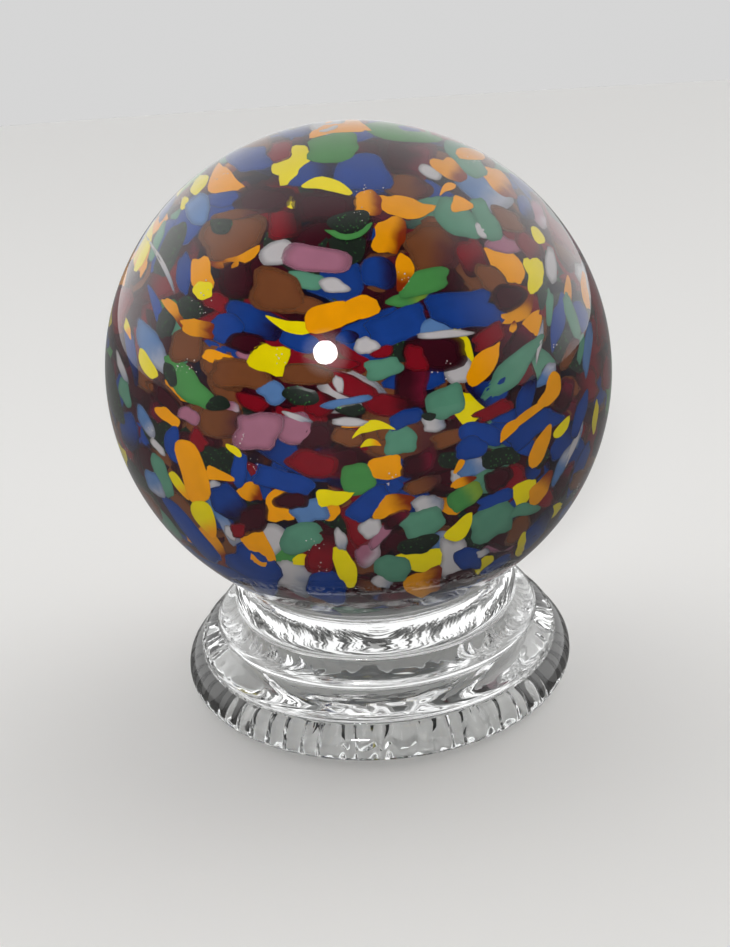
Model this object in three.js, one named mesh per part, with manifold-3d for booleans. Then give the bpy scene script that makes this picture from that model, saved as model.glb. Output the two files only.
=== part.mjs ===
// A large glass marble resting on a stepped, clear pressed-glass stand.
// Millimetres, +Z up. The origin is on the stand's axis, in the plane that its foot ring stands on.

import * as THREE from 'three';
import { mergeVertices } from 'three/addons/utils/BufferGeometryUtils.js';
import Module from 'manifold-3d';

const wasm = await Module();
wasm.setup();

// The marble: a ball that is a little flatter than it is wide, and that leans in its seat
const marbleWidth = 127;
const marbleThickness = 123.5;
const marbleLean = THREE.MathUtils.degToRad(15);

// The stand's foot and its lowest, smooth band
const footRadius = 49.6;
const bandBulge = { radius: 53, height: 4 };

// The grooves between the steps, from the lowest up
const lowGroove = { radius: 48.4, height: 9.2 };
const midGroove = { radius: 41.8, height: 14.6 };
const highGroove = { radius: 36.8, height: 20 };

// The widest line of each rounded step, and of the ring of the cup above them
const lowStep = { radius: 49, height: 10.4 };
const highStep = { radius: 44.1, height: 16.2 };
const cupRing = { radius: 38.6, height: 22 };

// The top of the cup: its crest, and the ring just inside the crest that the marble sits on
const crest = { radius: 35.2, height: 30.2 };
const seat = { radius: 33.4, drop: 0.7 };
const seatClearance = 0.3;
const cupHollowRadius = 56;

// The shallow hollow under the stand, with round flutes that run up its wall and die out on its shoulder
const recessMouthRadius = 44.4;
const recessWall = { radius: 43, height: 3.5 };
const recessShoulder = { radius: 38.5, height: 5 };
const recessHeight = 6;
const fluteCount = 60;
const fluteDepth = 1.2;

// How finely the round forms are faceted
const standSides = 76;
const grooveSteps = 2;
const shoulderSteps = 4;
const cupWallSteps = 5;
const cupHollowSteps = 6;
const pointsPerFlute = 4;
const recessShoulderSteps = 2;
const marbleSides = 48;
const marbleRings = 24;

const standColor = 0xdfe6e4;
const marbleColor = 0x35406a;
const glassRoughness = 0.04;

const cutOverrun = 2;

function arcPoints(count, pointAt) {
  // Points along a curve, leaving out its first end, which the piece before it already has
  const points = [];
  for (let i = 1; i <= count; i++) {
    points.push(pointAt(i / count));
  }
  return points;
}

function quarterRound(from, to, steps, roundFirst) {
  // A quarter of an ellipse between two points of the profile: upright at one end, level at the other
  return arcPoints(steps, (share) => {
    const turn = share * Math.PI / 2;
    const across = roundFirst ? Math.sin(turn) : 1 - Math.cos(turn);
    const up = roundFirst ? 1 - Math.cos(turn) : Math.sin(turn);
    return new THREE.Vector2(
      THREE.MathUtils.lerp(from.radius, to.radius, across),
      THREE.MathUtils.lerp(from.height, to.height, up),
    );
  });
}

function roundedStep(grooveBelow, widest, grooveAbove) {
  // One moulded step: it swells out of the groove below and rolls over to the groove above
  return [
    ...quarterRound(grooveBelow, widest, grooveSteps, true),
    ...quarterRound(widest, grooveAbove, shoulderSteps, false),
  ];
}

function indexedSolid(geometry) {
  // Leave only the shared corners, and drop the triangles that close up to nothing at a pole
  geometry.deleteAttribute('normal');
  geometry.deleteAttribute('uv');
  const merged = mergeVertices(geometry);
  const corners = merged.index.array;
  const kept = [];
  for (let i = 0; i < corners.length; i += 3) {
    const [a, b, c] = [corners[i], corners[i + 1], corners[i + 2]];
    if (a !== b && b !== c && c !== a) {
      kept.push(a, b, c);
    }
  }
  merged.setIndex(kept);
  return merged;
}

function toManifold(geometry) {
  const solid = indexedSolid(geometry);
  return new wasm.Manifold(new wasm.Mesh({
    numProp: 3,
    vertProperties: new Float32Array(solid.attributes.position.array),
    triVerts: new Uint32Array(solid.index.array),
  }));
}

function fromManifold(solid) {
  const mesh = solid.getMesh();
  const geometry = new THREE.BufferGeometry();
  geometry.setAttribute('position', new THREE.BufferAttribute(mesh.vertProperties, 3));
  geometry.setIndex(new THREE.BufferAttribute(mesh.triVerts, 1));
  geometry.computeVertexNormals();
  return geometry;
}

function turned(profile, sides) {
  // A turned solid about +Z from a profile of radius and height that runs up the outside
  return new THREE.LatheGeometry(profile, sides).rotateX(Math.PI / 2);
}

const seatHeight = crest.height - seat.drop;

function standProfile() {
  // Up the outside from the middle of the underside, over the crest, and down the hollow of the cup
  const foot = { radius: footRadius, height: 0 };
  const hollowCentre = seatHeight + Math.sqrt(cupHollowRadius ** 2 - seat.radius ** 2);
  const seatAngle = Math.asin(seat.radius / cupHollowRadius);
  const cupHollow = arcPoints(cupHollowSteps, (share) => {
    const angle = seatAngle * (1 - share);
    return new THREE.Vector2(
      cupHollowRadius * Math.sin(angle),
      hollowCentre - cupHollowRadius * Math.cos(angle),
    );
  });
  return [
    new THREE.Vector2(0, 0),
    new THREE.Vector2(footRadius, 0),
    ...quarterRound(foot, bandBulge, shoulderSteps, true),
    ...quarterRound(bandBulge, lowGroove, shoulderSteps, false),
    ...roundedStep(lowGroove, lowStep, midGroove),
    ...roundedStep(midGroove, highStep, highGroove),
    ...quarterRound(highGroove, cupRing, grooveSteps, true),
    ...quarterRound(cupRing, crest, cupWallSteps, false),
    new THREE.Vector2(seat.radius, seatHeight),
    ...cupHollow,
  ];
}

function flutedRecess() {
  // The hollow as a plug to cut away: a turned dome whose wall is waved in and out by the flutes
  const wall = new THREE.Vector2(recessWall.radius, recessWall.height);
  const shoulder = new THREE.QuadraticBezierCurve(
    wall,
    new THREE.Vector2(recessWall.radius, recessShoulder.height),
    new THREE.Vector2(recessShoulder.radius, recessShoulder.height),
  );
  const slope = (recessMouthRadius - recessWall.radius) / recessWall.height;
  const below = new THREE.Vector2(recessMouthRadius + slope * cutOverrun, -cutOverrun);
  const plug = turned([
    new THREE.Vector2(0, -cutOverrun),
    below,
    wall,
    ...arcPoints(recessShoulderSteps, (share) => shoulder.getPoint(share)),
    new THREE.Vector2(0, recessHeight),
  ], fluteCount * pointsPerFlute);
  const place = plug.attributes.position;
  for (let i = 0; i < place.count; i++) {
    const x = place.getX(i);
    const y = place.getY(i);
    const radius = Math.hypot(x, y);
    const dyingOut = THREE.MathUtils.smoothstep(place.getZ(i), recessWall.height, recessShoulder.height);
    const wave = fluteDepth / 2 * (1 - dyingOut) * Math.cos(fluteCount * Math.atan2(y, x));
    const grown = radius > 0 ? (radius + wave) / radius : 1;
    place.setXY(i, x * grown, y * grown);
  }
  return plug;
}

function marblePlace() {
  // The leaning ball settles where it is the same clearance off the seat ring on both sides.
  // Its outline across X, grown by the clearance, is written as level*x^2 + 2*skew*x*z + upright*z^2 = 1.
  const wide = marbleWidth / 2 + seatClearance;
  const thick = marbleThickness / 2 + seatClearance;
  const sine = Math.sin(marbleLean);
  const cosine = Math.cos(marbleLean);
  const level = (cosine / wide) ** 2 + (sine / thick) ** 2;
  const skew = sine * cosine * (1 / thick ** 2 - 1 / wide ** 2);
  const upright = (sine / wide) ** 2 + (cosine / thick) ** 2;
  const rise = Math.sqrt((1 - level * seat.radius ** 2) / (upright - skew ** 2 / level));
  return new THREE.Vector3(-skew / level * rise, 0, seatHeight + rise);
}

function glass(color) {
  return new THREE.MeshStandardMaterial({ color, roughness: glassRoughness, metalness: 0 });
}

const stand = new THREE.Mesh(
  fromManifold(toManifold(turned(standProfile(), standSides)).subtract(toManifold(flutedRecess()))),
  glass(standColor),
);
stand.name = 'stand';

const ball = new THREE.SphereGeometry(marbleWidth / 2, marbleSides, marbleRings).rotateX(Math.PI / 2);
ball.scale(1, 1, marbleThickness / marbleWidth);
const marble = new THREE.Mesh(indexedSolid(ball), glass(marbleColor));
marble.name = 'marble';
marble.rotation.y = marbleLean;
marble.position.copy(marblePlace());

const group = new THREE.Group();
group.add(stand, marble);

export default group;
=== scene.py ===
import math
import random

import bmesh
import bpy
from mathutils import Matrix, Vector, noise


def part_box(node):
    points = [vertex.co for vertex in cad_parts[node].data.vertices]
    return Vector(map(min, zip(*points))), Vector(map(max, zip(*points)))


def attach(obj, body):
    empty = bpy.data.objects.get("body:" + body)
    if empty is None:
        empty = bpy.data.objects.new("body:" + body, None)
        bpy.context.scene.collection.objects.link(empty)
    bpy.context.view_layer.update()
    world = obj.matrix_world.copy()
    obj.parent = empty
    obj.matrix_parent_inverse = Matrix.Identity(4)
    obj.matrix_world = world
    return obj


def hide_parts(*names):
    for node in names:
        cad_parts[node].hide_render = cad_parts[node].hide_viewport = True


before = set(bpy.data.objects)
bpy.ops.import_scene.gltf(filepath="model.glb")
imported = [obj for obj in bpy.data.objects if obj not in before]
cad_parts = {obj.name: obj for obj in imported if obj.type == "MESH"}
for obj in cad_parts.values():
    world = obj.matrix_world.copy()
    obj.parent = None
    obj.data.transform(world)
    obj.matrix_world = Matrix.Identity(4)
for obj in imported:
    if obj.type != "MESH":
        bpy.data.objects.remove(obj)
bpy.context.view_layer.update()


# The view: a camera a short arm's length from the marble, looking down on it and held a little out of
# level. It is set by where the middle of the marble falls in a picture of 730 by 947 pixels.
picture_width = 730
picture_height = 947
focal_pixels = 1082
look_down = math.radians(21.1)
camera_roll = math.radians(-3.7)
camera_distance = 0.2792
marble_pixel_x = 359.0
marble_pixel_y = 372.6

marble_low, marble_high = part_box("marble")
marble_centre = (marble_low + marble_high) / 2
level_right = Vector((1, 0, 0))
forward = Vector((0, math.cos(look_down), -math.sin(look_down)))
level_up = level_right.cross(forward)
picture_right = level_right * math.cos(camera_roll) + level_up * math.sin(camera_roll)
picture_up = level_up * math.cos(camera_roll) - level_right * math.sin(camera_roll)
to_marble = (
    forward
    + picture_right * (marble_pixel_x - picture_width / 2) / focal_pixels
    + picture_up * (picture_height / 2 - marble_pixel_y) / focal_pixels
).normalized()
eye = marble_centre - to_marble * camera_distance

camera_data = bpy.data.cameras.new("camera")
camera_data.sensor_fit = "HORIZONTAL"
camera_data.sensor_width = 36
camera_data.lens = camera_data.sensor_width * focal_pixels / picture_width
camera_data.clip_start = 0.01
camera = bpy.data.objects.new("camera", camera_data)
camera_axes = Matrix((picture_right, picture_up, -forward)).transposed().to_4x4()
camera.matrix_world = Matrix.Translation(eye) @ camera_axes
bpy.context.scene.collection.objects.link(camera)
bpy.context.scene.camera = camera


# The marble's casing: a thick coat of clear glass gathered over the coloured chips and blocked round.
# It is a little flatter than it is wide, it leans in its seat, and its skin is fire-polished.
marble_radius = 0.0635
marble_flatness = 123.5 / 127
marble_lean = math.radians(15)
casing_ior = 1.5
casing_ripple_size = 0.03
casing_ripple_depth = 0.00002

ball_space = Matrix.Translation(marble_centre) @ Matrix.Rotation(marble_lean, 4, "Y")
ball_form = ball_space @ Matrix.Diagonal((1, 1, marble_flatness, 1))


def new_piece(name, bm, material):
    """Make a finished object of a bmesh, with smooth faces that point out, that rides on the one body."""
    bmesh.ops.remove_doubles(bm, verts=bm.verts, dist=1e-7)
    bmesh.ops.recalc_face_normals(bm, faces=bm.faces)
    for face in bm.faces:
        face.smooth = True
    mesh = bpy.data.meshes.new(name)
    bm.to_mesh(mesh)
    bm.free()
    mesh.materials.append(material)
    piece = bpy.data.objects.new(name, mesh)
    bpy.context.scene.collection.objects.link(piece)
    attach(piece, "root")
    return piece


def new_material(name):
    """An empty material, with its node tree and its Principled shader."""
    material = bpy.data.materials.new(name)
    material.use_nodes = True
    tree = material.node_tree
    return material, tree, tree.nodes["Principled BSDF"]


def feed(node, inputs):
    """Give a node's inputs plain values, or join them to the outputs of other nodes."""
    for name, value in inputs.items():
        if isinstance(value, bpy.types.NodeSocket):
            node.id_data.links.new(value, node.inputs[name])
        else:
            node.inputs[name].default_value = value


def add_node(tree, kind, inputs, **settings):
    """Add one shader node. Its settings come first, because they decide which inputs it has."""
    node = tree.nodes.new("ShaderNode" + kind)
    for name, value in settings.items():
        setattr(node, name, value)
    feed(node, inputs)
    return node


def object_place(tree):
    return add_node(tree, "TexCoord", {}).outputs["Object"]


def mottle(tree, place, scale, detail, distortion=0):
    """Soft noise from 0 to 1, with as many patches to a metre as the scale says."""
    inputs = {"Vector": place, "Scale": scale, "Detail": detail, "Distortion": distortion}
    return add_node(tree, "TexNoise", inputs).outputs["Fac"]


def clear_glass(name, tint, ior, ripple_depth):
    """Clear glass that lets the lamp's light straight through to what is sealed in it. It comes with its node
    tree and the bump that ripples its skin, which still needs a height."""
    material, tree, shader = new_material(name)
    ripple = add_node(tree, "Bump", {"Strength": 1, "Distance": ripple_depth})
    feed(shader, {
        "Base Color": (*tint, 1),
        "Roughness": 0,
        "IOR": ior,
        "Transmission Weight": 1,
        "Normal": ripple.outputs["Normal"],
    })
    mixed = add_node(tree, "MixShader", {
        0: add_node(tree, "LightPath", {}).outputs["Is Shadow Ray"],
        1: shader.outputs["BSDF"],
        2: add_node(tree, "BsdfTransparent", {}).outputs["BSDF"],
    })
    feed(tree.nodes["Material Output"], {"Surface": mixed.outputs["Shader"]})
    return material, tree, ripple


casing_glass, tree, casing_ripple = clear_glass("casing glass", (1, 1, 1), casing_ior, casing_ripple_depth)
feed(casing_ripple, {"Height": mottle(tree, object_place(tree), scale=1 / casing_ripple_size, detail=1)})

casing_mesh = bmesh.new()
bmesh.ops.create_icosphere(casing_mesh, subdivisions=7, radius=marble_radius, matrix=ball_form)
casing = new_piece("marble_casing", casing_mesh, casing_glass)
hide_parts("marble")


# The core that the chips were picked up on: a ball, mostly hidden, whose dark purple, navy and brown
# patches are painted shade, standing for the unlit depth of the ball that shows as the dark gaps between the
# chips. Its foot is bare of chips and painted pale grey, painted light that lifts the shaded underside of the
# ball and shows as a pale edge just above the cup.
core_depth = 0.0097
bare_foot_cosine = 0.84
bare_foot_blur = 0.03


def calculate(tree, operation, *values):
    return add_node(tree, "Math", dict(enumerate(values)), operation=operation).outputs["Value"]


def calculate_vector(tree, operation, *values):
    node = add_node(tree, "VectorMath", dict(enumerate(values)), operation=operation)
    return node.outputs["Value" if operation in ("DOT_PRODUCT", "LENGTH") else "Vector"]


def smooth_step(tree, value, start, end, height=1):
    """Rise softly from 0 to a height while the value goes from start to end."""
    inputs = {"Value": value, "From Min": start, "From Max": end, "To Max": height}
    return add_node(tree, "MapRange", inputs, interpolation_type="SMOOTHSTEP").outputs["Result"]


def mix_colours(tree, share, colour, other):
    inputs = {"Factor": share, "A": colour, "B": other}
    return add_node(tree, "Mix", inputs, data_type="RGBA").outputs["Result"]


def colour_ramp(tree, value, stops):
    """A colour that follows a value past a few stops, each a place from 0 to 1 and a colour."""
    node = add_node(tree, "ValToRGB", {"Fac": value})
    elements = node.color_ramp.elements
    for element, (place, colour) in zip(elements, (stops[0], stops[-1])):
        element.position = place
        element.color = colour
    for place, colour in stops[1:-1]:
        elements.new(place).color = colour
    return node.outputs["Color"]


core_material, tree, core_shader = new_material("core glass with painted shade")
core_place = object_place(tree)
# Painted shade: dark patches that stand for the unlit depth of the ball, seen in the gaps between the chips
core_painted_shade = colour_ramp(tree, mottle(tree, core_place, scale=95, detail=2, distortion=1.5), (
    (0.36, (0.003, 0.003, 0.016, 1)),
    (0.52, (0.016, 0.002, 0.008, 1)),
    (0.66, (0.05, 0.010, 0.006, 1)),
))
from_middle = calculate_vector(tree, "SUBTRACT", core_place, marble_centre)
core_downness = calculate_vector(
    tree, "DOT_PRODUCT", calculate_vector(tree, "NORMALIZE", from_middle), (0, 0, -1)
)
# Painted light: the foot, bare of chips, is painted a pale grey that lifts the shaded underside of the ball
foot_painted_light = smooth_step(
    tree, core_downness, bare_foot_cosine - bare_foot_blur, bare_foot_cosine + bare_foot_blur
)
feed(core_shader, {
    "Base Color": mix_colours(tree, foot_painted_light, core_painted_shade, (0.42, 0.43, 0.43, 1)),
    "Roughness": 0.4,
    "Specular IOR Level": 0,
})

core_mesh = bmesh.new()
bmesh.ops.create_icosphere(core_mesh, subdivisions=5, radius=marble_radius - core_depth, matrix=ball_form)
new_piece("marble_core", core_mesh, core_material)


# The chips: crushed coloured glass picked up hot on the core, in several coats, and rolled flat, so each
# is a thin lens with a soft outline. The turning of the ball drew most of them out along level rings.
seen_chip_sides = 24
strewn_chip_sides = 12
chip_rings = 4
chip_thickness = 0.0002
chip_values = ("rim", "along", "batch")
wobble_lobes = (2, 3, 4, 5, 7)
wobble_share = 0.34
bend_share = 0.16
bend_middle = 0.3
lap = 1.08
first_coat_depth = 0.0092
coat_rise = 0.0002
coat_unevenness = 0.4
last_coat = 5

carrier = bpy.data.meshes.new("carrier")
out_of_ball = ball_space.to_3x3().inverted()
to_eye = out_of_ball @ -to_marble
downward = out_of_ball @ Vector((0, 0, -1))
face_right = (picture_right - to_marble * picture_right.dot(to_marble)).normalized()
face_up = face_right.cross(to_marble)
limb_radius = camera_distance * math.tan(math.asin(marble_radius / camera_distance))
widest_spread = 0.995 * limb_radius


def first_meeting(start, direction, radius):
    """Where a line first meets a ball of that radius, with the ball's flatness taken out beforehand."""
    along = start.dot(direction) / direction.length_squared
    reach = along * along - (start.length_squared - radius * radius) / direction.length_squared
    return start - direction * (along + math.sqrt(max(reach, 0)))


def under_casing(across, up, depth):
    """The point in a coat of chips that shows at that place on the marble's face, seen through the casing."""
    spread = math.hypot(across, up)
    inside = min(1, widest_spread / spread) if spread else 1
    target = marble_centre + (face_right * across + face_up * up) * inside
    round_space = ball_form.inverted()
    start = round_space @ eye
    sight = (round_space @ target - start).normalized()
    skin = first_meeting(start, sight, marble_radius)
    facing = skin.normalized()
    slope = -sight.dot(facing)
    bent = sight / casing_ior + facing * (slope / casing_ior - math.sqrt(1 - (1 - slope**2) / casing_ior**2))
    return first_meeting(skin, bent, marble_radius - depth)


def coat_depth(coat, draw):
    """How deep under the skin a chip of that coat lies, a little unlike its neighbours."""
    return first_coat_depth - coat_rise * (coat + draw.uniform(-coat_unevenness, coat_unevenness))


def seen_at(across, up, slant, depth):
    """Lay a chip where it shows on the marble's face, in metres from the middle of the face."""
    cosine = math.cos(slant)
    sine = math.sin(slant)

    def lay(x, y, height):
        point = under_casing(across + x * cosine - y * sine, up + x * sine + y * cosine, depth)
        return ball_form @ (point + point.normalized() * height)

    return lay


def laid_at(outward, turn, depth):
    """Lay a chip anywhere on the ball, drawn out along its level ring but for the given turn."""
    level = Vector((0, 0, 1)).cross(outward).normalized()
    along = level * math.cos(turn) + outward.cross(level) * math.sin(turn)
    across = outward.cross(along)
    radius = marble_radius - depth

    def lay(x, y, height):
        point = (outward * radius + along * x + across * y).normalized() * (radius + height)
        return ball_form @ point

    return lay


# The outlines that a chip can have, each a way of pushing a round disc of radius 1 into shape
def oval(x, y):
    return x, y


def slab(x, y):
    square = (x**4 + y**4) ** 0.25
    grown = math.hypot(x, y) / square if square else 1
    return x * grown * 0.94, y * grown * 0.94


def tear(x, y):
    return x, y * (1 - 0.5 * x)


def wedge(x, y):
    x, y = slab(x, y)
    return x, y * (1 - 0.65 * x)


def bean(x, y):
    return x, y * (1 - 0.1 * x * x) - 0.5 * x * x + 0.2


def crescent(x, y):
    return x, y * (1 - 0.3 * x * x) - 0.9 * x * x + 0.35


def chip_layers(bm):
    """What the colour needs of each point: how far out and along its chip it is, and the chip's own batch."""
    return [bm.verts.layers.float.new(name) for name in chip_values]


def add_small(whole, one):
    """Add a small mesh to a large one, which takes far less time than making it there."""
    one.to_mesh(carrier)
    one.free()
    whole.from_mesh(carrier)


def add_chip(chips, long, wide, form, lay, draw, sides):
    """One chip: a ball pressed flat to its outline and laid in its coat, then added to the others."""
    one = bmesh.new()
    rim, along, batch = chip_layers(one)
    bmesh.ops.create_uvsphere(one, u_segments=sides, v_segments=chip_rings, radius=1)
    own_batch = draw.random()
    wobble = [
        (lobes, draw.uniform(0, wobble_share / lobes), draw.uniform(0, math.tau)) for lobes in wobble_lobes
    ]
    bend = draw.uniform(-bend_share, bend_share)
    for vert in one.verts:
        x, y, z = vert.co
        vert[rim] = math.hypot(x, y)
        vert[along] = x
        vert[batch] = own_batch
        angle = math.atan2(y, x)
        grown = 1 + sum(size * math.sin(lobes * angle + start) for lobes, size, start in wobble)
        x, y = form(x * grown, y * grown)
        vert.co = lay(x * long / 2, (y + bend * (x * x - bend_middle)) * wide / 2, z * chip_thickness / 2)
    add_small(chips, one)


# How the colours are shared out in the dark bed next to the core, and in the coats over it
bed_shares = {
    "burgundy": 38, "cobalt": 14, "brown": 15, "red": 14, "aventurine": 10, "jade": 3, "orange": 2,
    "grass": 1, "yellow": 1, "white": 1, "lilac": 1,
}
outer_shares = {
    "cobalt": 16, "burgundy": 17, "orange": 7, "brown": 12, "jade": 7, "red": 12, "periwinkle": 5,
    "yellow": 5, "grass": 4, "white": 5, "lilac": 4, "aventurine": 6,
}
bed_chips = 760
outer_chips = 560
seen_face = 0.3
golden_angle = math.pi * (3 - math.sqrt(5))
shortest_chip = 0.007
usual_chip = 0.012
longest_chip = 0.023
widest_chip = 0.011
narrow_share = 0.35
broad_share = 0.8
place_scatter = 0.04
slant_scatter = 0.4


def strewn_chips(count, coats, shares, draw, kept):
    """Chips strewn evenly all round: (colour, length, width, outline, way it is laid)."""
    for i in range(count):
        height = 1 - 2 * (i + 0.5) / count
        outward = Vector((
            math.sqrt(1 - height * height) * math.cos(golden_angle * i),
            math.sqrt(1 - height * height) * math.sin(golden_angle * i),
            height,
        ))
        outward = (outward + Vector([draw.gauss(0, place_scatter) for _ in range(3)])).normalized()
        colour = draw.choices(list(shares), weights=list(shares.values()))[0]
        long = draw.triangular(shortest_chip, longest_chip, usual_chip)
        wide = min(widest_chip, long * draw.uniform(narrow_share, broad_share))
        form = draw.choice((oval, oval, slab, slab, tear, wedge, crescent))
        depth = coat_depth(draw.choice(coats), draw)
        lay = laid_at(outward, draw.gauss(0, slant_scatter) + draw.choice((0, math.pi)), depth)
        if kept(outward):
            foot_edge = bare_foot_cosine + draw.uniform(-bare_foot_blur, bare_foot_blur)
            if outward.dot(downward) < foot_edge:
                yield colour, long, wide, form, lay


def everywhere(outward):
    return True


def off_the_seen_face(outward):
    return outward.dot(to_eye) < seen_face


strewing = random.Random(11)
strewn = list(strewn_chips(bed_chips, (0, 1), bed_shares, strewing, everywhere))
strewn += list(strewn_chips(outer_chips, (2, 3, 4), outer_shares, strewing, off_the_seen_face))


def frit_colour_group():
    """The colour of a chip: cloudy, lighter or darker by batch, and in some batches fading to a second colour
    along the chip, where it fused with a neighbour. A chip lies flush, so it faces as the ball does."""
    group = bpy.data.node_groups.new("frit colour", "ShaderNodeTree")
    for way, kind, names in (
        ("INPUT", "NodeSocketColor", ("Body", "Fades to")),
        ("INPUT", "NodeSocketFloat", ("Fading share", "Cloud", "Thin edge")),
        ("OUTPUT", "NodeSocketColor", ("Color",)),
        ("OUTPUT", "NodeSocketFloat", ("Cover",)),
        ("OUTPUT", "NodeSocketVector", ("Facing",)),
    ):
        for name in names:
            group.interface.new_socket(name, in_out=way, socket_type=kind)
    given = group.nodes.new("NodeGroupInput").outputs
    place = object_place(group)
    cloud = mottle(group, place, scale=220, detail=3)
    rim, along, batch = [
        add_node(group, "Attribute", {}, attribute_name=name).outputs["Fac"] for name in chip_values
    ]

    # The second colour comes in along the chip, at a wandering border
    wandering = calculate(group, "MULTIPLY_ADD", cloud, 0.9, calculate(group, "ADD", along, -0.45))
    fading = calculate(group, "LESS_THAN", batch, given["Fading share"])
    share = calculate(group, "MULTIPLY", smooth_step(group, wandering, -0.2, 0.75), fading)
    faded = mix_colours(group, share, given["Body"], given["Fades to"])

    # Batches differ in tone, each chip is cloudy, and its rim is a shade darker
    own_tone = calculate(group, "MULTIPLY", batch, 0.5)
    unevenness = calculate(group, "ADD", own_tone, calculate(group, "ADD", cloud, -0.75))
    lightness = calculate(group, "MULTIPLY_ADD", unevenness, given["Cloud"], 1)
    edge_shade = calculate(group, "MULTIPLY_ADD", smooth_step(group, rim, 0.93, 1), -0.15, 1)
    shaded = add_node(group, "HueSaturation", {
        "Value": calculate(group, "MULTIPLY", lightness, edge_shade),
        "Color": faded,
    })

    # What lies behind shows through where the chip thins towards its rim
    lost = calculate(group, "MULTIPLY", smooth_step(group, rim, 0.6, 1.02), given["Thin edge"])
    facing = add_node(
        group, "VectorTransform", {"Vector": calculate_vector(group, "SUBTRACT", place, marble_centre)},
        vector_type="NORMAL", convert_from="OBJECT", convert_to="WORLD",
    )
    feed(group.nodes.new("NodeGroupOutput"), {
        "Color": shaded.outputs["Color"],
        "Cover": calculate(group, "SUBTRACT", 1, lost),
        "Facing": facing.outputs["Vector"],
    })
    return group


frit_colour = frit_colour_group()


def frit_glass(name, body, fades_to, fading_share, cloud, thin_edge):
    """The glass of one colour of chip. Fused in clear glass it has no shine of its own."""
    material, tree, shader = new_material(name)
    colour = add_node(tree, "Group", {
        "Body": (*body, 1),
        "Fades to": (*fades_to, 1),
        "Fading share": fading_share,
        "Cloud": cloud,
        "Thin edge": thin_edge,
    }, node_tree=frit_colour).outputs
    feed(shader, {
        "Base Color": colour["Color"],
        "Normal": colour["Facing"],
        "Roughness": 0.5,
        "Specular IOR Level": 0,
    })
    if thin_edge:
        feed(shader, {"Alpha": colour["Cover"]})
    return material


def chips_of(colour, placed, material):
    """All the chips of one colour: those that show in front where they were laid, then the strewn ones."""
    bm = bmesh.new()
    chip_layers(bm)
    draw = random.Random(colour)
    for across, up, long, wide, slant, coat, form in placed:
        lay = seen_at(across / 1000, up / 1000, math.radians(slant), coat_depth(coat, draw))
        add_chip(bm, lap * long / 1000, lap * wide / 1000, form, lay, draw, seen_chip_sides)
    for own, long, wide, form, lay in strewn:
        if own == colour:
            add_chip(bm, long, wide, form, lay, draw, strewn_chip_sides)
    chips = new_piece(f"chips_{colour}", bm, material)
    # Smooth faces would darken the thin rim of each chip
    chips.data.shade_flat()


# The orange chips: opaque enamel glass, the brightest in the marble, some of it fading to a burnt red. Each
# chip is given by its place across and up the face and its length and width as they show, in millimetres,
# then by its slant in degrees, its coat, counted up from the core, and its outline.
chips_of("orange", [
    (-5, 61.3, 14, 4, 3, 3, crescent),
    (-34.5, 48.3, 7.5, 7, 100, 3, wedge),
    (2.2, 42.5, 7, 6, 0, 3, slab),
    (11.5, 41.8, 12.5, 5.5, 165, 3, bean),
    (23, 51, 9, 4.5, -35, 3, oval),
    (35.5, 47.8, 10.5, 4, -42, 3, oval),
    (7.8, 34.5, 8, 8.5, -20, 3, slab),
    (11.3, 25.5, 8.5, 4.5, -95, 4, bean),
    (26.3, 42.2, 5.5, 3.2, -10, 4, wedge),
    (22.5, 46.3, 4.5, 1.8, 25, 4, crescent),
    (-31.5, 28.6, 12.5, 3.6, 196, 3, crescent),
    (37, 27, 12, 6, -38, 2, bean),
    (39.7, 17.3, 10, 9, 45, 3, oval),
    (44.8, 13, 5.5, 4, 60, 3, wedge),
    (39.6, 11.7, 3, 1.6, 90, 3, tear),
    (32.3, 2.3, 12.5, 4.8, 55, 4, tear),
    (49.3, -4.6, 9.5, 3.8, 244, 4, bean),
    (44, -10.6, 13.5, 2, 36, 4, oval),
    (38.8, -14.9, 7, 2.4, 48, 4, bean),
    (-8.3, 14, 11.5, 6.6, 12, 4, slab),
    (0.2, 16.2, 9.5, 5.6, 18, 4, slab),
    (-40.2, 25, 8, 5.3, -82, 3, slab),
    (-47, 15.2, 8.5, 2.8, -55, 4, bean),
    (-41.3, 11.3, 9, 4, -12, 4, slab),
    (-49.3, -11.2, 6.5, 3, -42, 3, slab),
    (-36, 4, 8, 2.6, -8, 3, tear),
    (-43, -25.5, 16, 6.5, -73, 4, slab),
    (-36, -26.5, 8, 2.6, -18, 3, wedge),
    (-28.5, -31, 6.5, 4.5, -20, 3, bean),
    (-20.5, -34.5, 8, 8, 0, 2, slab),
    (-38.2, -45.2, 11, 5, -52, 3, wedge),
    (-26.3, -45.5, 11.5, 6.5, -62, 3, slab),
    (7, -24.5, 9.5, 5.5, 8, 3, slab),
    (9, -34.7, 10.5, 5.5, 32, 3, bean),
    (47.5, -29.5, 9, 3.6, 60, 3, tear),
    (47.2, -18.5, 10, 3.8, 62, 3, tear),
    (17, -54.7, 9.5, 6.5, 14, 3, slab),
    (53.5, 19.5, 9, 1.8, -85, 3, oval),
    (57.8, 20.5, 9, 1.6, -80, 3, oval),
    (-7.2, -36, 4.5, 4, 0, 2, slab),
    (27, -28.3, 7, 2, 25, 4, bean),
    (26, -24, 5, 1.4, 60, 3, oval),
    (-0.5, -13.2, 7, 1.6, 8, 3, oval),
], frit_glass("orange frit", (0.80, 0.31, 0.0), (0.20, 0.02, 0.0), 0.45, 0.3, 0.0))


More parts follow.
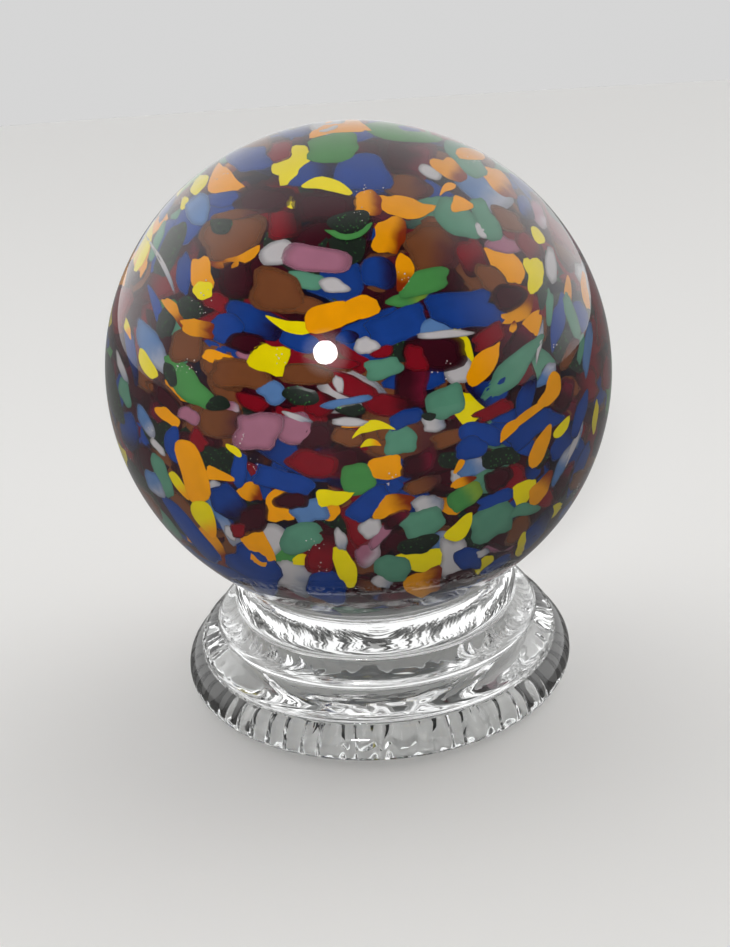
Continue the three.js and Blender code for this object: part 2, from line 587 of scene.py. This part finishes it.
# The yellow chips: opaque lemon glass that warms to orange in some batches. They are fewer and smaller than
# the orange ones, and many are slivers.
chips_of("yellow", [
    (-17, 52.3, 11, 6, 35, 3, slab),
    (-8, 46.8, 11.5, 3.4, -8, 4, crescent),
    (44.8, 25, 8.5, 4.6, -82, 3, slab),
    (45.5, 34.5, 4.5, 2.5, -60, 3, oval),
    (-16, 12, 12, 3.6, 176, 3, crescent),
    (-23.3, 3.6, 10, 7.5, -15, 4, slab),
    (28.8, -8.6, 10, 7, 20, 2, wedge),
    (3.5, -14.2, 9, 2.8, 12, 4, crescent),
    (3, -18.3, 5, 1.8, 5, 4, crescent),
    (-6, -32.3, 8.5, 4, 12, 4, wedge),
    (-39.8, -38, 10, 4.6, -66, 4, tear),
    (-46.5, -29, 7.5, 2.4, -52, 3, oval),
    (-3.8, -50.5, 10.5, 5, -72, 4, bean),
    (43, -30.5, 8, 4, 50, 3, tear),
    (26.7, -40, 8.5, 4, 50, 3, tear),
    (16.5, -48.3, 13.5, 5, 187, 2, bean),
    (-54.3, 2, 8.5, 2.6, -62, 3, slab),
    (-40.5, 47.2, 6, 2.6, 50, 3, oval),
    (-43.8, 48.5, 9, 2, 56, 2, oval),
    (-55, 29.5, 9, 1.6, 66, 3, oval),
    (-44.2, 42.5, 3, 2, 60, 3, oval),
    (-59.3, 11.5, 5, 1.4, -75, 3, oval),
    (-32.3, -20, 4.5, 1.8, -45, 4, oval),
    (-39.8, 20.8, 4.5, 4.5, -80, 4, slab),
    (52.7, -14, 6, 2.2, 62, 3, tear),
    (61, -11.5, 8, 1.2, 84, 3, oval),
    (-14.5, -48.6, 6, 2.6, 10, 2, oval),
    (42.5, -44.5, 6, 2.2, 70, 3, oval),
    (32.5, -50, 6, 3, 40, 2, oval),
    (-17.2, 42.7, 3, 2.4, -70, 3, oval),
], frit_glass("yellow frit", (0.80, 0.66, 0.0), (0.86, 0.33, 0.0), 0.25, 0.2, 0.0))


# The cobalt chips: dense blue glass, going to navy in some batches and a little see-through at the rim.
# They cover more of the face than any other colour, some of them as long slabs.
chips_of("cobalt", [
    (-15, 61, 11, 3.6, 15, 2, oval),
    (-27.8, 53.5, 10, 6, 8, 3, slab),
    (0.8, 50, 13.5, 9, 8, 3, slab),
    (-11.8, 50, 13, 4.8, 12, 3, oval),
    (-34.3, 43.6, 8, 4, 5, 3, oval),
    (-43.3, 38, 12, 6, 62, 2, oval),
    (5, 25.2, 8.5, 8, 0, 3, slab),
    (27, 16, 17.5, 9.5, 8, 3, slab),
    (-26.5, 13.2, 15.5, 7, -22, 2, slab),
    (-34, 11.3, 8.5, 7, -15, 3, oval),
    (-15.5, 8, 11, 4.5, -15, 2, oval),
    (10, 11.7, 15.5, 8.5, 18, 2, slab),
    (-3, 9, 6, 3, 10, 2, oval),
    (33.8, -4.6, 10, 8, 200, 3, bean),
    (43.2, -6, 11.5, 3.8, 70, 3, tear),
    (51, 13, 14, 3, 84, 3, oval),
    (44.5, -14.3, 15, 6, 36, 2, slab),
    (53.5, -17.5, 12, 4.5, 58, 2, oval),
    (-48, -18.5, 9, 4, -85, 3, oval),
    (-59.2, -15, 10, 4.2, -82, 3, oval),
    (-44.5, 25, 10, 3.8, 86, 3, oval),
    (-51.7, 16, 12, 2.2, -75, 3, bean),
    (-58.2, 4.5, 13, 2.4, -82, 3, oval),
    (-48.3, 43, 9, 2.4, 62, 3, oval),
    (-19.5, -28, 15, 5.5, -16, 4, slab),
    (-34, -33.5, 10, 7.5, -60, 3, oval),
    (-31, -25, 9, 3.8, 85, 3, slab),
    (-27, -51, 17, 8, -38, 3, slab),
    (-43.5, -41, 21, 3.8, -52, 3, oval),
    (2.5, -34, 13, 5.5, 38, 3, slab),
    (8.8, -29.5, 5, 4, 30, 2, oval),
    (-8.3, -55.8, 11.5, 7.5, -12, 3, oval),
    (28.5, -48.3, 7, 5.5, 0, 3, slab),
    (12, -11.8, 9, 4.2, 18, 3, slab),
    (31.5, -15.8, 11, 5.5, -14, 3, slab),
    (29, -19.5, 9, 5, 15, 3, oval),
    (35.5, -32.7, 10, 3.4, 24, 3, slab),
    (57, -11, 13, 2.4, 74, 3, oval),
    (42.3, 41.5, 6.5, 3.2, -58, 3, oval),
    (57, -25, 14, 2.4, 70, 3, oval),
    (46.5, -40.5, 13, 3.6, 55, 3, oval),
    (36, -49.8, 9, 2.2, 30, 2, oval),
], frit_glass("cobalt frit", (0.008, 0.044, 0.235), (0.009, 0.006, 0.045), 0.35, 0.5, 0.25))


# The periwinkle chips: a paler, milky blue glass that fades towards white in some batches. Many of them lie
# low in the coats, showing between the others.
chips_of("periwinkle", [
    (31.5, 45.8, 15.5, 7, -36, 2, slab),
    (-22.3, -5, 7.5, 5.5, -10, 3, oval),
    (-12.8, -35.8, 9, 6.5, 12, 3, slab),
    (21, -43.5, 7, 4, 25, 2, oval),
    (-36, -37, 17, 3.2, -62, 2, slab),
    (-53, 6.5, 15, 5, -65, 2, oval),
    (-40.8, 41, 8, 5.5, 50, 3, oval),
    (48.2, -0.8, 7.5, 3, 55, 3, oval),
    (19.5, 11.5, 9, 5.5, 35, 2, slab),
    (-3.5, -7.6, 11.5, 2.4, 10, 4, oval),
    (29.5, -24.3, 9, 5, 30, 2, oval),
    (58.7, 6, 14, 2, 85, 3, oval),
    (52.5, -24, 10, 2.4, 68, 3, oval),
    (-53, -28.5, 8, 3.2, -60, 3, oval),
    (-55, -12.5, 8, 3, -62, 2, oval),
    (56.5, -16, 9, 1.8, 76, 2, oval),
], frit_glass("periwinkle frit", (0.09, 0.19, 0.40), (0.36, 0.38, 0.46), 0.4, 0.35, 0.45))


# The jade chips: opaque blue-green glass, in small slabs in the middle of the coats. At the sides, where the
# ball turns away, they show as thin upright slivers.
chips_of("jade", [
    (27, 53.5, 11, 5.5, -36, 3, oval),
    (24.8, 38.7, 13, 7, -36, 3, oval),
    (32.2, 38.3, 11, 5, -65, 3, slab),
    (-13.5, 23.3, 9.5, 4, -5, 2, slab),
    (40.3, 1.6, 20, 5.4, 50, 3, tear),
    (22.3, -7.6, 9.5, 8, 20, 3, slab),
    (6.2, 1, 9.5, 5, 12, 3, slab),
    (10.7, -17.5, 9, 6.5, 12, 3, slab),
    (34.5, -38.5, 12, 8.5, 30, 3, slab),
    (-15, -42.8, 10, 8, 5, 3, slab),
    (16.5, -39, 11.5, 7, 20, 3, slab),
    (8.8, -50.8, 9, 6.5, -10, 3, slab),
    (-51, -26.5, 11, 3.6, -66, 3, oval),
    (-50.5, -38, 11, 2.4, -52, 3, oval),
    (-60.2, -5, 7, 2.6, -75, 3, oval),
    (48.7, 16.5, 9, 1.8, 88, 3, oval),
    (54.5, 14, 12, 2.6, -72, 3, oval),
    (57, 6, 7, 1.6, 82, 3, oval),
    (-51.3, 33, 10, 1.8, 68, 3, oval),
    (31, -28, 9, 2.6, 48, 2, oval),
    (43, -35.7, 8, 3, 20, 3, bean),
], frit_glass("jade frit", (0.09, 0.25, 0.165), (0.04, 0.07, 0.06), 0.25, 0.3, 0.25))


# The grass-green chips: opaque leaf-green glass, yellower in some batches. Only nine of them show in front,
# two at the top of the ball.
chips_of("grass", [
    (11.3, 60.3, 17, 5.2, -8, 3, oval),
    (-6.5, 56.3, 13.5, 7, 4, 3, oval),
    (16.5, 22.8, 14, 5.5, 20, 4, slab),
    (-43.8, -3, 14, 7, -52, 3, oval),
    (-0.3, -27.5, 8.5, 8, 0, 3, slab),
    (27.5, -32, 9.5, 5.5, 35, 3, slab),
    (-2.3, 35.4, 10, 3, 190, 3, crescent),
    (-19.5, -47.5, 7, 5, -20, 2, oval),
    (12.5, 18.8, 9, 4, 15, 2, oval),
], frit_glass("grass green frit", (0.06, 0.24, 0.06), (0.20, 0.33, 0.04), 0.25, 0.3, 0.2))


# The brown chips: amber-brown glass that lets light through where it thins. They are broad, soft pieces,
# which make the warm bands of the marble.
chips_of("brown", [
    (-32.3, 34, 15.5, 12, 15, 3, oval),
    (18.7, 31.3, 14, 12, -14, 3, oval),
    (-21, 20.5, 13, 11, -5, 3, slab),
    (-44.3, 6.8, 8, 8.5, 0, 3, slab),
    (-30.5, -0.5, 16, 7.5, -6, 3, slab),
    (-14, -0.5, 14, 5.5, -4, 3, oval),
    (-15, 17, 11, 4.5, 0, 3, slab),
    (12.3, 46.5, 12, 6.5, -5, 2, oval),
    (-45, -36, 11, 4.5, -58, 2, slab),
    (54.3, 5, 9, 3, 62, 3, oval),
    (52.5, 31, 12, 4.5, -66, 2, slab),
    (34, 23.6, 9.5, 5.5, -38, 3, oval),
    (16.5, -29, 9.5, 4, 18, 3, oval),
    (23.5, -16.8, 10, 4, 18, 2, slab),
    (-36, -12.5, 12, 8, -10, 2, slab),
    (-3, -16.7, 8, 4.5, -8, 3, slab),
    (-49.5, -6.5, 12, 4, -50, 2, slab),
    (37.8, 38.5, 9, 4.5, -30, 3, oval),
    (-31, 39.8, 12, 2.4, 5, 4, oval),
    (41.5, -40.5, 9, 4.5, 45, 2, oval),
], frit_glass("brown frit", (0.165, 0.055, 0.02), (0.08, 0.018, 0.02), 0.4, 0.3, 0.35))


# The red chips: deep ruby-red glass that darkens in some batches. They are small slabs in the middle of
# the coats, filling in between the larger pieces.
chips_of("red", [
    (-20, 55.3, 6, 5, 0, 3, slab),
    (-19, 37.5, 8.5, 7.5, 0, 3, slab),
    (28.8, 29, 10.5, 6.5, -62, 3, slab),
    (43.7, 31.2, 10, 5, -55, 3, slab),
    (33.3, 9, 9.5, 4.5, 32, 3, slab),
    (8, -8.7, 12, 6.5, -8, 3, slab),
    (-2.5, -3.3, 13, 5.5, -22, 3, oval),
    (-10, -8.3, 8.5, 5.5, 25, 3, oval),
    (-9.5, -46, 12, 8, 75, 3, slab),
    (-12, -23.5, 13, 6.5, -10, 3, oval),
    (-41.5, -17.5, 6, 4, -50, 3, slab),
    (-27.5, -7.6, 8.5, 3.8, -18, 3, oval),
    (34.8, -9.8, 10, 3.6, 26, 3, slab),
    (14.5, 3.5, 6, 6, 0, 4, slab),
    (-36.8, 18, 6.5, 4.5, -20, 3, slab),
    (39.5, -28.5, 9, 7, 40, 2, slab),
    (0, -39.5, 12, 7, -60, 2, slab),
    (-31.5, -40.8, 4, 3.5, 0, 4, slab),
    (6, 5.2, 6, 2.6, 15, 3, oval),
    (-4.5, 2.2, 9, 2.6, 0, 4, oval),
    (48.5, -32.5, 4, 5, 0, 2, slab),
], frit_glass("red frit", (0.19, 0.004, 0.011), (0.05, 0.002, 0.006), 0.4, 0.35, 0.35))


# The burgundy chips: deep purple-red glass, see-through towards the rim. They lie between and over the
# others as soft dark veils.
chips_of("burgundy", [
    (-24.5, 43.5, 13, 8, 5, 3, oval),
    (-9, 41.8, 14.5, 8, 5, 3, slab),
    (19.5, 5, 16, 9, 5, 3, slab),
    (13.5, -3.5, 9, 11, 0, 2, slab),
    (-31.5, 24, 9, 9.5, 0, 3, slab),
    (38.3, 19, 8, 7, 40, 5, oval),
    (41.5, 8, 11, 6, 55, 3, slab),
    (12.5, 54, 15, 9, -8, 2, slab),
    (-42, -18, 12, 5, -8, 2, slab),
    (-28, -38, 8, 8, 0, 3, slab),
    (-17.5, -33, 8, 5, 0, 4, oval),
    (-11, -16.5, 8.5, 7.5, 0, 3, slab),
    (-29, 7.5, 10, 4.8, -5, 4, oval),
    (-50, 9, 14, 4.8, -62, 2, slab),
    (-49, -7.5, 12, 4, -45, 3, slab),
    (15.5, -23.5, 9, 6, 15, 3, slab),
    (36, -27.5, 7, 6, 40, 4, oval),
    (10, -44, 7, 7, 60, 2, slab),
    (9.5, -38, 7, 3.5, 30, 4, oval),
    (48, -34, 12, 4, 60, 2, slab),
    (53, -6, 9, 4, 70, 2, slab),
    (53, -28, 11, 2.6, 64, 3, oval),
    (9.5, -54.8, 8, 4.5, 10, 2, oval),
    (27, -53, 9, 4, 5, 2, oval),
], frit_glass("burgundy frit", (0.036, 0.002, 0.007), (0.13, 0.006, 0.022), 0.45, 0.4, 0.6))


# The lilac chips: milky pink-violet glass that pales in some batches, thin and soft at the rim. There are
# few of them, but two of the larger pieces on the face are theirs.
chips_of("lilac", [
    (-11, 28.7, 16, 7, -13, 3, slab),
    (-26, -15, 12, 9.5, -5, 4, slab),
    (-16.5, -14.5, 9, 8.5, 20, 3, slab),
    (-43.8, -11, 5.5, 4, -20, 3, oval),
    (36.5, 32.3, 8, 4.5, -5, 2, oval),
    (45.8, 39.8, 8, 3, -55, 2, oval),
    (2.3, -46, 6, 9, -30, 2, oval),
    (5.8, -42, 3, 9, -35, 3, oval),
    (-28.5, 4.5, 6, 3, -20, 3, oval),
    (-33, -9, 5, 3, -30, 2, oval),
], frit_glass("lilac frit", (0.34, 0.135, 0.20), (0.46, 0.38, 0.42), 0.35, 0.3, 0.5))


# The white chips: opal glass, milky and see-through at the rim. It shows grey-white between the colours,
# some of it as hair-thin slivers at the sides.
chips_of("white", [
    (18, 50.3, 6.5, 2.6, -28, 3, slab),
    (-20.5, 30.2, 8.5, 6.5, 0, 2, oval),
    (-6.5, 22, 7.5, 3.5, -5, 3, oval),
    (49, 27, 9, 2.8, -82, 3, oval),
    (1.8, 6.8, 5.5, 4.5, 0, 3, oval),
    (3, -40.3, 6, 5, 20, 3, oval),
    (18, -34.3, 7.5, 5.5, 20, 3, oval),
    (-23, -43, 8, 8, 0, 2, oval),
    (-17.5, -52.8, 12, 8, -25, 2, slab),
    (24.5, -48, 7, 10, 0, 2, slab),
    (-4.8, -43.3, 6, 3, -75, 4, oval),
    (26, 0.3, 7.5, 6, 40, 2, slab),
    (22, 9.7, 14, 2, 3, 4, oval),
    (19.3, -13, 6.5, 4, 10, 3, slab),
    (-2.5, -12.7, 9, 2.2, -3, 4, oval),
    (6.2, -54.3, 5, 3.5, -20, 3, slab),
    (-16, -11.5, 8, 1.6, -20, 3, oval),
    (-5.3, -3, 5, 2.2, -65, 4, oval),
    (-50, 27, 14, 1.2, -65, 4, bean),
    (-60.8, 1, 8, 1.6, -72, 3, oval),
    (-52, -19, 5, 1.8, -50, 3, oval),
    (-37.5, -29.5, 4.5, 3, -20, 2, oval),
    (31, 35.8, 5, 2.2, -50, 3, oval),
    (46.3, 8, 10, 1.4, 84, 3, oval),
    (26, -26.8, 4.5, 3.5, 0, 2, slab),
    (32.3, -46.8, 3.5, 2, 20, 3, slab),
    (-33.5, -41.5, 5, 2, -60, 3, oval),
    (55, -20, 12, 1.2, 66, 3, oval),
], frit_glass("opal white frit", (0.50, 0.48, 0.49), (0.26, 0.28, 0.34), 0.45, 0.15, 0.6))


# The aventurine chips: near-black green glass full of fine glittering metal flakes. The flakes are single
# cells of a very fine pattern, few of which are picked to shine.
flakes_per_metre = 3400

aventurine, tree, aventurine_shader = new_material("aventurine frit")
flakes = add_node(tree, "TexVoronoi", {"Vector": object_place(tree), "Scale": flakes_per_metre})
flake_pick = add_node(tree, "SeparateColor", {"Color": flakes.outputs["Color"]}).outputs["Red"]
flake_shine = add_node(tree, "MapRange", {"Value": flake_pick, "From Min": 0.955, "From Max": 0.985})
shine = flake_shine.outputs["Result"]
feed(aventurine_shader, {
    "Base Color": mix_colours(tree, shine, (0.002, 0.009, 0.003, 1), (0.04, 0.16, 0.04, 1)),
    "Metallic": shine,
    "Roughness": 0.3,
    "Specular IOR Level": 0.2,
})

chips_of("aventurine", [
    (-2.5, 38, 10.5, 5, 12, 4, oval),
    (-35, 37, 5.5, 4, 0, 4, oval),
    (-43.5, 16, 6.5, 6, 0, 4, oval),
    (-49.3, 13, 9, 4, 80, 3, oval),
    (-48, 31, 13, 5, 66, 3, slab),
    (-15, -6, 9, 4.5, -8, 4, oval),
    (-36.3, -8, 6, 3.5, 0, 4, oval),
    (-2, -9.6, 7, 3, 0, 5, oval),
    (15.5, -44.5, 10.5, 4.5, 16, 3, oval),
    (-36.5, -22.5, 9, 6, -25, 3, slab),
    (47, 19.5, 6, 2.6, 80, 3, oval),
    (36.5, -22, 9, 5, 8, 3, slab),
    (24, -22.5, 7, 4, 0, 3, slab),
    (29.5, -43, 6, 4, -40, 2, slab),
    (18, -11.3, 3.5, 2, 0, 4, oval),
    (-48.5, -0.5, 6, 3, -70, 3, oval),
    (46.5, -22, 6, 4, 60, 2, slab),
], aventurine)


# The seeds: tiny air bubbles caught along the edges of some chips, each a bright speck, made as a pale
# ball whose colour is painted glint. They lie in small loose clusters, between the last coat of chips and the
# clear casing that trapped them.
seed_clusters = 46
seeds_each = 7
seed_spread = 0.0012
smallest_seed = 0.000065
largest_seed = 0.000208
least_gap = 0.0003
most_gap = 0.0008

seed_material, tree, seed_shader = new_material("air seeds")
# Painted glint: the pale, mottled colour stands for the light that an air bubble reflects
feed(seed_shader, {
    "Base Color": colour_ramp(tree, mottle(tree, object_place(tree), scale=400, detail=2), (
        (0, (0.35, 0.28, 0.26, 1)),
        (1, (0.95, 0.92, 0.9, 1)),
    )),
    "Roughness": 0.15,
    "Specular IOR Level": 1,
})

seed_mesh = bmesh.new()
seeding = random.Random(5)
for _ in range(seed_clusters):
    middle = Vector([seeding.gauss(0, 1) for _ in range(3)]).normalized()
    for _ in range(seeds_each):
        strayed = middle * marble_radius + Vector([seeding.gauss(0, seed_spread) for _ in range(3)])
        depth = first_coat_depth - last_coat * coat_rise - seeding.uniform(least_gap, most_gap)
        spot = ball_form @ Matrix.Translation(strayed.normalized() * (marble_radius - depth))
        radius = seeding.uniform(smallest_seed, largest_seed)
        one = bmesh.new()
        bmesh.ops.create_icosphere(one, subdivisions=1, radius=radius, matrix=spot)
        add_small(seed_mesh, one)
new_piece("air_seeds", seed_mesh, seed_material)


# The stand: one piece of clear pressed glass. Its outside is a smooth round band, two rounded steps and the
# ring of the cup. The plunger left a shallow hollow under it, whose wall is pressed into sixty round flutes.
# Each point of the profile is a radius and a height.
foot = (0.0496, 0)
band = (0.053, 0.004)
low_groove = (0.0484, 0.0092)
low_step = (0.049, 0.0104)
mid_groove = (0.0418, 0.0146)
high_step = (0.0441, 0.0162)
high_groove = (0.0368, 0.020)
cup_ring = (0.0386, 0.022)
crest = (0.0352, 0.0302)
seat = (0.0334, 0.0295)
cup_hollow_radius = 0.056
recess_mouth = (0.0444, 0)
recess_wall = (0.043, 0.0035)
recess_shoulder = (0.0385, 0.005)
recess_top = (0, 0.006)
flute_count = 60
flute_depth = 0.0012
turns_per_flute = 12


def shares(steps):
    """Even steps on the way from 0 to 1, with the 1 and without the 0."""
    return [i / steps for i in range(1, steps + 1)]


def straight(start, end, steps):
    """A straight stretch of the profile, without its first point."""
    for share in shares(steps):
        yield start[0] + (end[0] - start[0]) * share, start[1] + (end[1] - start[1]) * share


def rounded_corner(start, corner, end, steps):
    """A stretch of the profile that rounds off a corner, without its first point."""
    for share in shares(steps):
        yield tuple(
            start[k] * (1 - share) ** 2 + corner[k] * 2 * share * (1 - share) + end[k] * share**2
            for k in (0, 1)
        )


def quarter_round(start, end, round_first, steps=8):
    """A quarter of an ellipse, without its first point: upright at one end and level at the other."""
    for share in shares(steps):
        turn = share * math.pi / 2
        across = math.sin(turn) if round_first else 1 - math.cos(turn)
        up = 1 - math.cos(turn) if round_first else math.sin(turn)
        yield start[0] + (end[0] - start[0]) * across, start[1] + (end[1] - start[1]) * up


def cup_hollow(steps):
    """The hollow of the cup from its seat down to its middle, part of a ball, without its first point."""
    middle_height = seat[1] + math.sqrt(cup_hollow_radius**2 - seat[0] ** 2)
    for share in shares(steps):
        angle = math.asin(seat[0] / cup_hollow_radius) * (1 - share)
        yield cup_hollow_radius * math.sin(angle), middle_height - cup_hollow_radius * math.cos(angle)


profile = [recess_top]
profile += straight(recess_top, recess_shoulder, 24)
profile += rounded_corner(recess_shoulder, (recess_wall[0], recess_shoulder[1]), recess_wall, 10)
profile += straight(recess_wall, recess_mouth, 5)
recess_points = len(profile)
profile.append(foot)
profile += quarter_round(foot, band, True)
profile += quarter_round(band, low_groove, False)
profile += quarter_round(low_groove, low_step, True, 4)
profile += quarter_round(low_step, mid_groove, False)
profile += quarter_round(mid_groove, high_step, True, 4)
profile += quarter_round(high_step, high_groove, False)
profile += quarter_round(high_groove, cup_ring, True, 4)
profile += quarter_round(cup_ring, crest, False, 12)
outside_points = len(profile)
profile.append(seat)
profile += cup_hollow(10)

# How strongly the skin is rippled: faintly outside and in the cup, which the fire polished, and fully in
# the hollow but for its calm middle.
ripple_outside = 0.04
ripple_in_cup = 0.06
calm_middle = 0.2
calm_radius = 0.022
calm_blend = 0.01

slice_mesh = bmesh.new()
recess_mark = slice_mesh.verts.layers.int.new("recess")
pressed_mark = slice_mesh.verts.layers.float.new("pressed")
line = []
for i, (radius, height) in enumerate(profile):
    vert = slice_mesh.verts.new((radius, 0, height))
    vert[recess_mark] = int(i < recess_points)
    if i > outside_points:
        vert[pressed_mark] = ripple_in_cup
    elif i < recess_points - 2:
        vert[pressed_mark] = min(1, max(calm_middle, (radius - calm_radius) / calm_blend))
    else:
        vert[pressed_mark] = ripple_outside
    line.append(vert)
edges = [slice_mesh.edges.new(pair) for pair in zip(line, line[1:])]
bmesh.ops.spin(
    slice_mesh, geom=line + edges, cent=(0, 0, 0), axis=(0, 0, 1), dvec=(0, 0, 0),
    angle=math.tau / flute_count, steps=turns_per_flute,
    use_merge=False, use_normal_flip=False, use_duplicate=False,
)
stand_mesh = bmesh.new()
recess_mark = stand_mesh.verts.layers.int.new("recess")
stand_mesh.verts.layers.float.new("pressed")
next_flute = Matrix.Rotation(math.tau / flute_count, 3, "Z")
for _ in range(flute_count):
    bmesh.ops.rotate(slice_mesh, verts=slice_mesh.verts, cent=(0, 0, 0), matrix=next_flute)
    slice_mesh.to_mesh(carrier)
    stand_mesh.from_mesh(carrier)
slice_mesh.free()

# The hollow as it was pressed: flutes of uneven depth and spacing, which die out up its shoulder, and a
# ceiling that waves in rings, but stays level in the middle.
mean_fluting = 0.75
flute_unevenness = 0.5
flute_stray = 3
changes_round = 9
changes_up = 405
plunger_wave = 0.0006
waves_across = 44
waves_outward = 440
wave_from_height = 0.002
wave_full_radius = 0.034
for vert in stand_mesh.verts:
    x, y, z = vert.co
    radius = math.hypot(x, y)
    if vert[recess_mark] and radius > 0:
        rise = min(1, max(0, (z - recess_wall[1]) / (recess_shoulder[1] - recess_wall[1])))
        fluting = 1 - rise * rise * (3 - 2 * rise)
        uneven = noise.noise(Vector((x / radius * changes_round, y / radius * changes_round, z * changes_up)))
        turn = flute_count * math.atan2(y, x) + flute_stray * uneven
        depth = flute_depth * fluting * (mean_fluting + flute_unevenness * uneven)
        grown = 1 + depth / 2 * math.cos(turn) / radius
        calm = min(1, z / wave_from_height, (radius / wave_full_radius) ** 4)
        wave = noise.noise(Vector((x * waves_across, y * waves_across, radius * waves_outward)))
        sag = plunger_wave * calm * wave
        vert.co = Vector((x * grown, y * grown, z + sag))

# The ripples are drawn out round the axis, as the glass flowed under the plunger.
ripple_size = 0.0035
ripple_depth = 0.0011
drawn_out = (0.12, 0.12, 1)

stand_glass, tree, stand_ripple = clear_glass("pressed clear glass", (0.99, 1, 0.995), 1.52, ripple_depth)
stand_place = object_place(tree)
from_axis = calculate_vector(tree, "LENGTH", calculate_vector(tree, "MULTIPLY", stand_place, (1, 1, 0)))
along_ripples = calculate_vector(
    tree, "ADD", calculate_vector(tree, "MULTIPLY", stand_place, drawn_out),
    add_node(tree, "CombineXYZ", {"Z": from_axis}).outputs["Vector"],
)
pressed = add_node(tree, "Attribute", {}, attribute_name="pressed").outputs["Fac"]
ripples = mottle(tree, along_ripples, scale=1 / ripple_size, detail=3)
feed(stand_ripple, {"Height": calculate(tree, "MULTIPLY", pressed, ripples)})
stand = new_piece("stand_glass", stand_mesh, stand_glass)
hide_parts("stand")


# The studio: a plain pale floor, a round lamp in front on the left with a glow around it, and a pale
# surround, bright behind the marble and at its right, softer at its left and faint overhead and in front.
# The glass bends and mirrors floor and surround in other tones than the eye sees, which keeps its contrast.
floor_radius = 4
floor_to_the_eye = (0.93, 0.92, 0.90, 1)
floor_through_glass = (0.48, 0.476, 0.468, 1)
floor_mirrored = (0.26, 0.258, 0.254, 1)
surround_to_the_eye = 0.67
surround_added_in_glass = 0.16

floor_material, tree, floor_shader = new_material("pale floor")
ray = add_node(tree, "LightPath", {}).outputs
floor_in_glass = mix_colours(tree, ray["Is Transmission Ray"], floor_mirrored, floor_through_glass)
feed(floor_shader, {
    "Base Color": mix_colours(tree, ray["Is Camera Ray"], floor_in_glass, floor_to_the_eye),
    "Roughness": 0.7,
    "Specular IOR Level": 0.2,
})
floor_mesh = bmesh.new()
bmesh.ops.create_circle(floor_mesh, cap_ends=True, segments=96, radius=floor_radius)
floor_data = bpy.data.meshes.new("floor")
floor_mesh.to_mesh(floor_data)
floor_mesh.free()
floor_data.materials.append(floor_material)
floor = bpy.data.objects.new("floor", floor_data)
bpy.context.scene.collection.objects.link(floor)


def soft_light(name, azimuth, elevation, distance, size, power):
    """A round soft light that faces the marble. Azimuth 0 is in front, and grows to the right."""
    data = bpy.data.lights.new(name, "AREA")
    data.shape = "DISK"
    data.size = size
    data.energy = power
    light = bpy.data.objects.new(name, data)
    side = math.radians(azimuth)
    rise = math.radians(elevation)
    away = Vector((math.sin(side) * math.cos(rise), -math.cos(side) * math.cos(rise), math.sin(rise)))
    light.location = marble_centre + away * distance
    light.rotation_euler = away.to_track_quat("Z", "Y").to_euler()
    light.visible_transmission = False
    bpy.context.scene.collection.objects.link(light)
    return away


to_lamp = soft_light("lamp", azimuth=-14, elevation=26, distance=2, size=0.34, power=15)

world = bpy.data.worlds.new("surround")
world.use_nodes = True
world.cycles.sampling_method = "NONE"
bpy.context.scene.world = world
tree = world.node_tree
sky_place = add_node(tree, "TexCoord", {}).outputs["Generated"]
# Each patch of the surround: where it is, how near to that the light starts and is full, and its strength
brightness = 0
for direction, starts, full, strength in (
    ((0, 0.3, 1), -1, 1, 0.08),
    ((0, 1, 0.25), 0, 0.45, 0.85),
    ((1, 0.3, 0.3), 0.55, 0.9, 0.75),
    ((-1, 0.4, 0.2), 0.5, 0.9, 0.45),
    (to_lamp, 0.98, 1, 2.5),
    ((0, -1, -0.3), 0.75, 1, 0.12),
):
    nearness = calculate_vector(tree, "DOT_PRODUCT", sky_place, Vector(direction).normalized())
    brightness = calculate(tree, "ADD", brightness, smooth_step(tree, nearness, starts, full, strength))
ray = add_node(tree, "LightPath", {}).outputs
in_glass = calculate(tree, "MULTIPLY_ADD", ray["Is Transmission Ray"], surround_added_in_glass, brightness)
seen = add_node(tree, "Mix", {"Factor": ray["Is Camera Ray"], "A": in_glass, "B": surround_to_the_eye})
feed(tree.nodes["Background"], {"Color": seen.outputs["Result"]})

scene = bpy.context.scene
scene.view_settings.view_transform = "Standard"
scene.cycles.use_denoising = True
scene.cycles.max_bounces = 24
scene.cycles.transmission_bounces = 24
scene.cycles.glossy_bounces = 8
scene.cycles.diffuse_bounces = 4
scene.cycles.transparent_max_bounces = 32
scene.cycles.sample_clamp_indirect = 6
